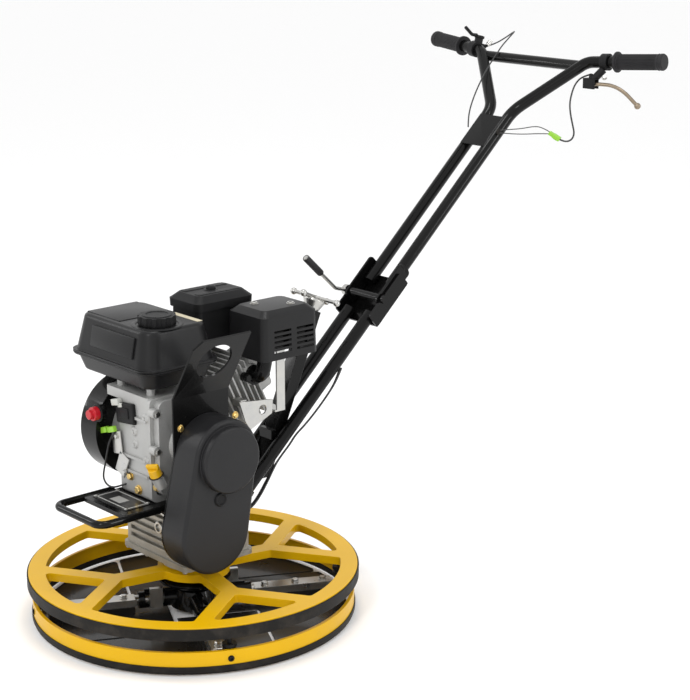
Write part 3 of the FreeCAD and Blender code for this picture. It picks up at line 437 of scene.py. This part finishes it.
lime_plastic = Finish("lime_plastic")
lime_plastic.feed(Base_Color=lime_plastic.mixed(lime_plastic.grain(60.0),
                                                (0.22, 0.50, 0.02), (0.30, 0.60, 0.05)),
                  Roughness=0.30 + 0.14 * lime_plastic.grain(140.0))
green_joint = bmesh.new()
for low, high in (((-117, -127, 351), (-92, -118, 362)), ((-90, -126, 358), (-68, -118, 369))):
    block(green_joint, low, high, 1.2, Matrix.Rotation(math.radians(-18), 4, "Y"))
part("green_connectors", green_joint, "frame", lime_plastic)

clip = bmesh.new()
block(clip, (-84, -118.5, 318), (-56, -115.5, 362), 1.0, Matrix.Rotation(math.radians(-8), 4, "Y"))
block(clip, (-70, -118.5, 279), (-40, -115.5, 322), 1.0, Matrix.Rotation(math.radians(24), 4, "Y"))
for spot in ((-68, -118.5, 352), (-46, -118.5, 288)):
    screw(clip, spot, (0, -1, 0), head=4.5, tall=4.0)
part("wiring_bracket", clip, "frame", zinc_plate)

brass_plate = Finish("yellow_zinc", Metallic=1.0)
brass_cloud = brass_plate.grain(60.0, 4.0)
brass_plate.feed(Base_Color=brass_plate.mixed(brass_cloud, (0.52, 0.36, 0.12), (0.74, 0.55, 0.22)),
                 Roughness=0.24 + 0.2 * brass_cloud)
foot_bolts = bmesh.new()
for spot in ((-36, -112, 281), (46, -112, 281)):
    screw(foot_bolts, spot, (0, -1, 0), head=6.5, tall=6.5)
screw(foot_bolts, (-11, -112, 261), (0, -1, 0), head=7.5, tall=7.0)
part("foot_bolts", foot_bolts, "frame", brass_plate)

bosses = bmesh.new()
for spot, size in (((-22, -112, 371), 8.0), ((-20, -112, 347), 7.0),
                   ((14, -112, 404), 8.0), ((14, -112, 322), 7.0)):
    boss = [(0.01, 5.0), (size * 0.45, 5.0), (size * 0.5, 3.5), (size * 0.8, 3.5), (size, 2.8),
            (size * 1.25, 0), (0.01, 0)]
    turned_shape(bosses, boss, facing(spot, (0, -1, 0)), 32)
part("crankcase_bosses", bosses, "frame", blasted_alloy)

# --- Starter side -----------------------------------------------------------------------------
# Black pressed-steel cowl round the flywheel, with the slotted recoil cover bolted on its outside.

finished("blower_housing", "frame", black_enamel, 2.0)
finished("recoil_cover", "frame", black_enamel, 1.2)
finished("crankshaft", "crank", machined_steel, 0.0)
finished("clutch_drum", "drum", machined_steel, 0.4)

# --- Fuel tank --------------------------------------------------------------------------------
# Two pressed-steel halves, seamed at a lip and painted satin black, with a scalloped plastic cap.

satin_black = Finish("satin_black_paint", Coat_Weight=0.08, Coat_Roughness=0.2, Specular_IOR_Level=0.2)
satin_cloud = satin_black.grain(11.0, 4.0)
satin_black.feed(Base_Color=satin_black.mixed(satin_cloud, (0.006, 0.006, 0.006), (0.013, 0.013, 0.014)),
                 Roughness=0.34 + 0.10 * satin_cloud)
satin_black.rough_skin(satin_black.grain(520.0, 2.0), 0.16, 0.0006)
finished("tank_lower", "frame", satin_black, 2.0)
finished("tank_upper", "frame", satin_black, 2.0)
finished("fuel_cap", "tank_cap", moulded_black, 1.2)
cap_ring = bmesh.new()
raised = [(0.01, 0.2), (20, 0.2), (21.5, 1.6), (26.5, 1.6), (28, 0.2), (28, -1.0), (0.01, -1.0)]
turned_shape(cap_ring, raised, facing((-11, -62, 584), (0, 0, 1)), 64)
part("cap_ring", cap_ring, "tank_cap", moulded_black)
pressings = bmesh.new()
turned_shape(pressings, [(38, -0.6), (39.5, 1.4), (43, 2.2), (46.5, 1.4), (48, -0.6), (38, -0.6)],
             facing((-11, -62, 566), (0, 0, 1)), 72)
block(pressings, (-176, -102, 564.4), (-72, 10, 567.4), 1.4)
block(pressings, (-132, -125.0, 513), (0, -119, 552), 1.6, Matrix.Rotation(math.radians(-11), 4, "X"))
part("tank_pressings", pressings, "frame", satin_black)
cream = Finish("cream_label")
cream.feed(Base_Color=cream.mixed(cream.grain(60.0), (0.50, 0.44, 0.30), (0.60, 0.54, 0.40)),
           Roughness=0.38 + 0.14 * cream.grain(120.0))
tank_label = bmesh.new()
block(tank_label, (-60, 4, 565.6), (22, 16, 566.5), 0.4)
part("tank_label", tank_label, "frame", cream)

# --- Air cleaner, silencer guard and exhaust --------------------------------------------------
# A moulded box with a knob on its lid, and a louvred steel guard, screwed on top, round a silencer
# whose elbow bolts to the exhaust port.

finished("air_cleaner_base", "frame", moulded_black, 1.2)
finished("air_cleaner_cover", "frame", moulded_black, 2.5)
finished("muffler", "frame", black_enamel, 1.0)
finished("muffler_guard", "frame", satin_black, 1.5)

lid_details = bmesh.new()
knob = [(0.01, 8.0), (6, 8.0), (8.5, 6.5), (9.5, 4.0), (9.5, 1.5), (14, 1.0), (15, -0.5), (0.01, -0.5)]
turned_shape(lid_details, knob, facing((-80, 114, 591), (0, 0, 1)), 36)
block(lid_details, (-110, 64, 589.6), (-94, 164, 592.2), 1.2)
block(lid_details, (-66, 64, 589.6), (-50, 164, 592.2), 1.2)
part("air_cleaner_knob", lid_details, "frame", moulded_black)
guard_screws = bmesh.new()
for spot in ((18, 140, 576.6), (62, 192, 576.6)):
    screw(guard_screws, spot, (0, 0, 1), head=6.5, tall=4.0, socket=3.0)
part("silencer_guard_screws", guard_screws, "frame", zinc_plate)

# --- Small engine fittings --------------------------------------------------------------------
# A red moulded stop switch on a black seat, and a yellow dipstick that screws into its filler neck
# on a rubber seal.

signal_red = Finish("red_plastic")
signal_red.feed(Base_Color=signal_red.mixed(signal_red.grain(40.0),
                                            (0.42, 0.004, 0.012), (0.56, 0.008, 0.02)),
                Roughness=0.26 + 0.14 * signal_red.grain(90.0))
finished("stop_switch", "ignition_switch", signal_red, 1.0)
switch_seat = bmesh.new()
turned_shape(switch_seat, [(0.01, 1.5), (15.5, 1.5), (17, 0.4), (17, -1.0), (0.01, -1.0)],
             facing((-106, -134.6, 391), (0, -1, 0)), 40)
part("switch_seat", switch_seat, "frame", moulded_black)
signal_yellow = Finish("yellow_plastic")
signal_yellow.feed(Base_Color=signal_yellow.mixed(signal_yellow.grain(40.0),
                                                  (0.62, 0.34, 0.002), (0.74, 0.43, 0.004)),
                   Roughness=0.30 + 0.14 * signal_yellow.grain(90.0))
finished("dipstick", "oil_dipstick", signal_yellow, 1.0)
filler_lean = facing((50, -106, 281), (0, -0.4, 0.9165))
dip_handle = bmesh.new()
block(dip_handle, (-12.5, -3.2, 42.0), (12.5, 3.2, 51.5), 1.6)
bmesh.ops.transform(dip_handle, matrix=filler_lean @ Matrix.Rotation(math.radians(25), 4, "Z"),
                    verts=dip_handle.verts)
part("dipstick_handle", dip_handle, "oil_dipstick", signal_yellow)
dip_seal = bmesh.new()
seal = [(11.0, 25.0), (13.4, 25.4), (14.2, 26.4), (13.4, 27.4), (11.0, 27.8), (11.0, 25.0)]
turned_shape(dip_seal, seal, filler_lean, 40)
part("dipstick_seal", dip_seal, "oil_dipstick", ring_rubber)

# --- Belt drive -------------------------------------------------------------------------------
# A moulded guard in dark satin plastic, open at its back against a black sheet whose top is bent out
# as the lifting eye.

guard_plastic = Finish("guard_plastic", Specular_IOR_Level=0.25)
guard_cloud = guard_plastic.grain(10.0, 4.0)
guard_plastic.feed(Base_Color=guard_plastic.mixed(guard_cloud, (0.010, 0.010, 0.011), (0.019, 0.019, 0.020)),
                   Roughness=0.36 + 0.12 * guard_cloud)
guard_plastic.rough_skin(guard_plastic.grain(900.0, 2.0), 0.25, 0.0005)
finished("belt_guard", "frame", guard_plastic, 1.0)
finished("lift_plate", "frame", black_enamel, 0.8)
finished("belt", "frame", ring_rubber, 0.0)
guard_bolts = bmesh.new()
for spot in ((100, -97, 402), (100, -104, 318), (100, 26, 402)):
    screw(guard_bolts, spot, (1, 0, 0), head=5.5, tall=5.0)
part("guard_bolts", guard_bolts, "frame", brass_plate)
plug = bmesh.new()
turned_shape(plug, [(0.01, 2.0), (8, 2.0), (9.5, 3.6), (11.5, 3.6), (13, 1.8), (13, -1.0), (0.01, -1.0)],
             facing((162, -58, 276), (1, 0, 0)), 40)
part("guard_plug", plug, "frame", moulded_black)

# --- Handle -----------------------------------------------------------------------------------
# Twin steel tubes in gloss black enamel, hinged half-way up in a folding bracket, then spreading
# into handlebars with ribbed rubber grips. Clamped levers work the throttle and the engine stop.

knee = Vector((0, 418, 507))
along = Vector((0, 0.736, 0.677))
across = Vector((0, -0.677, 0.736))
finished("lower_handle", "frame", black_enamel, 0.0, bent=True)
finished("fold_bracket", "frame", black_enamel, 0.8)
finished("fold_lever", "fold_lock", zinc_plate, 0.0, bent=True)
finished("upper_handle", "handle", black_enamel, 0.0, bent=True)
finished("lever_perches", "handle", moulded_black, 1.0)
finished("throttle_lever", "throttle", moulded_black, 0.8)
lever_alloy = Finish("lever_alloy", Metallic=0.9)
lever_cloud = lever_alloy.grain(30.0, 4.0)
lever_alloy.feed(Base_Color=lever_alloy.mixed(lever_cloud, (0.20, 0.15, 0.10), (0.34, 0.28, 0.21)),
                 Roughness=0.28 + 0.16 * lever_cloud)
finished("stop_lever", "stop_blade", lever_alloy, 0.0, bent=True)
grip_rubber = Finish("grip_rubber", Specular_IOR_Level=0.2)
grip_cloud = grip_rubber.grain(30.0, 4.0)
grip_rubber.feed(Base_Color=grip_rubber.mixed(grip_cloud, (0.012, 0.012, 0.013), (0.030, 0.029, 0.031)),
                 Roughness=0.45 + 0.2 * grip_cloud)
grip_rubber.rough_skin(grip_rubber.grain(700.0), 0.3, 0.0005)
grip_mesh = bmesh.new()
for side in (-1, 1):
    inner, outer = Vector((side * 215, 922, 984)), Vector((side * 321, 942, 991))
    run = (outer - inner).length
    place = facing(inner, outer - inner)
    known = set(grip_mesh.verts)
    rim = bmesh.ops.create_circle(grip_mesh, segments=144, radius=16.0)["verts"]
    for number, vert in enumerate(rim):
        if number % 4 < 2:
            vert.co *= 15.1 / 16.0
    bmesh.ops.translate(grip_mesh, vec=(0, 0, 7), verts=rim)
    wall = list({e for v in rim for e in v.link_edges})
    pulled = bmesh.ops.extrude_edge_only(grip_mesh, edges=wall)["geom"]
    drawn = [v for v in pulled if isinstance(v, bmesh.types.BMVert)]
    bmesh.ops.translate(grip_mesh, vec=(0, 0, run - 20), verts=drawn)
    flange = [(12.6, 0), (20, 0), (21, 1), (21, 4), (20, 5), (16.5, 6), (15.5, 8), (12.6, 8), (12.6, 0)]
    turned_shape(grip_mesh, flange, Matrix(), 64)
    end_rings = [(12.6, run - 14), (16.2, run - 14), (16.9, run - 12), (16.2, run - 10), (15.6, run - 9),
                 (16.9, run - 7), (16.9, run - 3), (15.0, run), (0.01, run), (0.01, run - 2),
                 (12.6, run - 4), (12.6, run - 14)]
    turned_shape(grip_mesh, end_rings, Matrix(), 64)
    bmesh.ops.transform(grip_mesh, matrix=place, verts=[v for v in grip_mesh.verts if v not in known])
ribbed_grips = part("ribbed_grips", grip_mesh, "handle", grip_rubber, smooth=25.0)
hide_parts("grips")
lever_fittings = bmesh.new()
barrel = [(0.01, 15), (3.2, 15), (3.4, 11), (5.2, 10.4), (5.2, 3.0), (4.2, 2.4), (4.2, -1), (0.01, -1)]
turned_shape(lever_fittings, barrel, facing((-157, 935, 989), (0.1, 0.75, 0.65)), 24)
screw(lever_fittings, (199, 905, 952), (0.45, -0.6, 0.66), head=4.2, tall=5.0)
part("lever_adjusters", lever_fittings, "handle", zinc_plate)
lever_sleeve = bmesh.new()
pin = knee + along * 40 + across * 12
foot, tip = pin + Vector((-58.4, -30, 8)), pin + Vector((-60.4, -106, 81))
sleeve = [(4.05, 51), (6.6, 51), (7.2, 52.5), (7.2, 103), (6.4, 105), (4.05, 105), (4.05, 51)]
turned_shape(lever_sleeve, sleeve, facing(foot, tip - foot), 40)
part("fold_lever_sleeve", lever_sleeve, "fold_lock", grip_rubber)

# --- Pitch control ----------------------------------------------------------------------------
# A painted post behind the engine with a plated four-armed cross on top, turned by hand to tilt
# the blades.

finished("pitch_post", "frame", black_enamel, 1.0)
finished("pitch_handle", "pitch_cross", zinc_plate, 0.0, bent=True)

# --- Cables and leads -------------------------------------------------------------------------
# Black sheathed cables of 3 to 4 mm and thin two-millimetre wires. The throttle cable springs up in
# a tight loop before it goes into the left tube; the others hang in easy curves.

sheath = Finish("cable_sheath")
sheath_mark = sheath.steps(sheath.grain(60.0), 0.4, 0.75)
sheath.feed(Base_Color=sheath.mixed(sheath_mark, (0.012, 0.012, 0.012), (0.03, 0.03, 0.032)),
            Roughness=0.34 + 0.2 * sheath_mark)
sheath.rough_skin(sheath.grain(900.0), 0.15, 0.0004)


def cable(name, node, body, route, thickness):
    """A round cable along the route's points, in millimetres."""
    curve = bpy.data.curves.new(name, "CURVE")
    curve.dimensions = "3D"
    curve.bevel_depth = thickness / 2000
    curve.bevel_resolution = 4
    curve.resolution_u = 10
    curve.use_fill_caps = True
    spline = curve.splines.new("NURBS")
    spline.points.add(len(route) - 1)
    for point, spot in zip(spline.points, route):
        point.co = (spot[0] / 1000, spot[1] / 1000, spot[2] / 1000, 1)
    spline.order_u = 3
    spline.use_endpoint_u = True
    piece = bpy.data.objects.new(name, curve)
    piece.data.materials.append(sheath.material)
    bpy.context.collection.objects.link(piece)
    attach(piece, body)
    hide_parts(node)
    [v / 1000 for v in route[0]]
    return piece


joint_mesh = bmesh.new()
block(joint_mesh, (-6.5, -4.5, -1), (6.5, 4.5, 15), 1.2)
block(joint_mesh, (-5.5, -3.8, 13), (5.5, 3.8, 25), 1.0)
block(joint_mesh, (-2.5, -6.0, 4), (2.5, -4.0, 12), 0.6)
bmesh.ops.transform(joint_mesh, matrix=facing((140, 842, 828), (-19, -9, 12)), verts=joint_mesh.verts)
lime_joint = part("lime_connector", joint_mesh, "handle", lime_plastic)
grommet = bmesh.new()
turned_shape(grommet, [(0.01, 2.0), (4.5, 2.0), (6.5, 1.2), (7.0, -0.5), (0.01, -0.5)],
             facing((42.2, 766, 840.5), (1, 0, 0)), 32)
part("wire_grommet", grommet, "handle", ring_rubber)

cable("throttle_cable_loop", "throttle_cable", "handle",
      [(-158, 934, 986), (-154, 960, 992), (-147, 978, 1002), (-139, 989, 1011), (-125, 986, 1018),
       (-113, 970, 1017), (-110, 948, 1004), (-103, 923, 992), (-91, 897, 980), (-82, 858, 952),
       (-74, 828, 924), (-64, 801, 899), (-53, 778, 875), (-45, 766, 856), (-38, 759, 842)],
      3)
cable("stop_lead_drop", "stop_lead", "handle",
      [(166, 904, 957), (151, 893, 952), (146, 879, 939), (148, 867, 923), (151, 857, 901),
       (157, 854, 879), (162, 856, 858), (165, 859, 840), (161, 855, 827), (150, 847, 823), (140, 842, 828)],
      3.5)
cable("stop_wire_high", "stop_wire_upper", "handle",
      [(121, 833, 842), (107, 824, 851), (94, 814, 852), (76, 798, 847), (60, 784, 845), (42, 767, 843)],
      2)
cable("stop_wire_low", "stop_wire_lower", "handle",
      [(122, 832, 838), (105, 820, 838), (82, 801, 836), (62, 784, 836), (42, 765, 838)],
      2)


def under_tube(x, drop):
    """Points below the right-hand lower tube, then down to the gearbox's rear plate."""
    stations = ((-119, -8), (-134, -15), (-158, -22), (-205, -23), (-249, -20), (-281, -14),
                (-302, -16), (-325, -15), (-350, -15))
    spots = [tuple(knee + along * s + across * (n - drop * min(1, k / 2)) + Vector((x, 0, 0)))
             for k, (s, n) in enumerate(stations)]
    return spots + [(x, 148, 232), (x, 127, 204), (x, 104, 185), (x, 80, 182)]


cable("lower_cable_1", "lower_cable_inner", "frame", under_tube(38.5, 0), 4)
cable("lower_cable_2", "lower_cable_outer", "frame", under_tube(43.2, -4), 4)
cable("engine_lead_loop", "engine_lead", "frame",
      [(-72, -120, 360), (-86, -123, 342), (-92, -125, 318), (-98, -126, 294), (-107, -125, 273),
       (-109, -124, 259), (-98, -124, 250), (-80, -124, 250), (-64, -121, 256), (-52, -112, 262)],
      3.5)
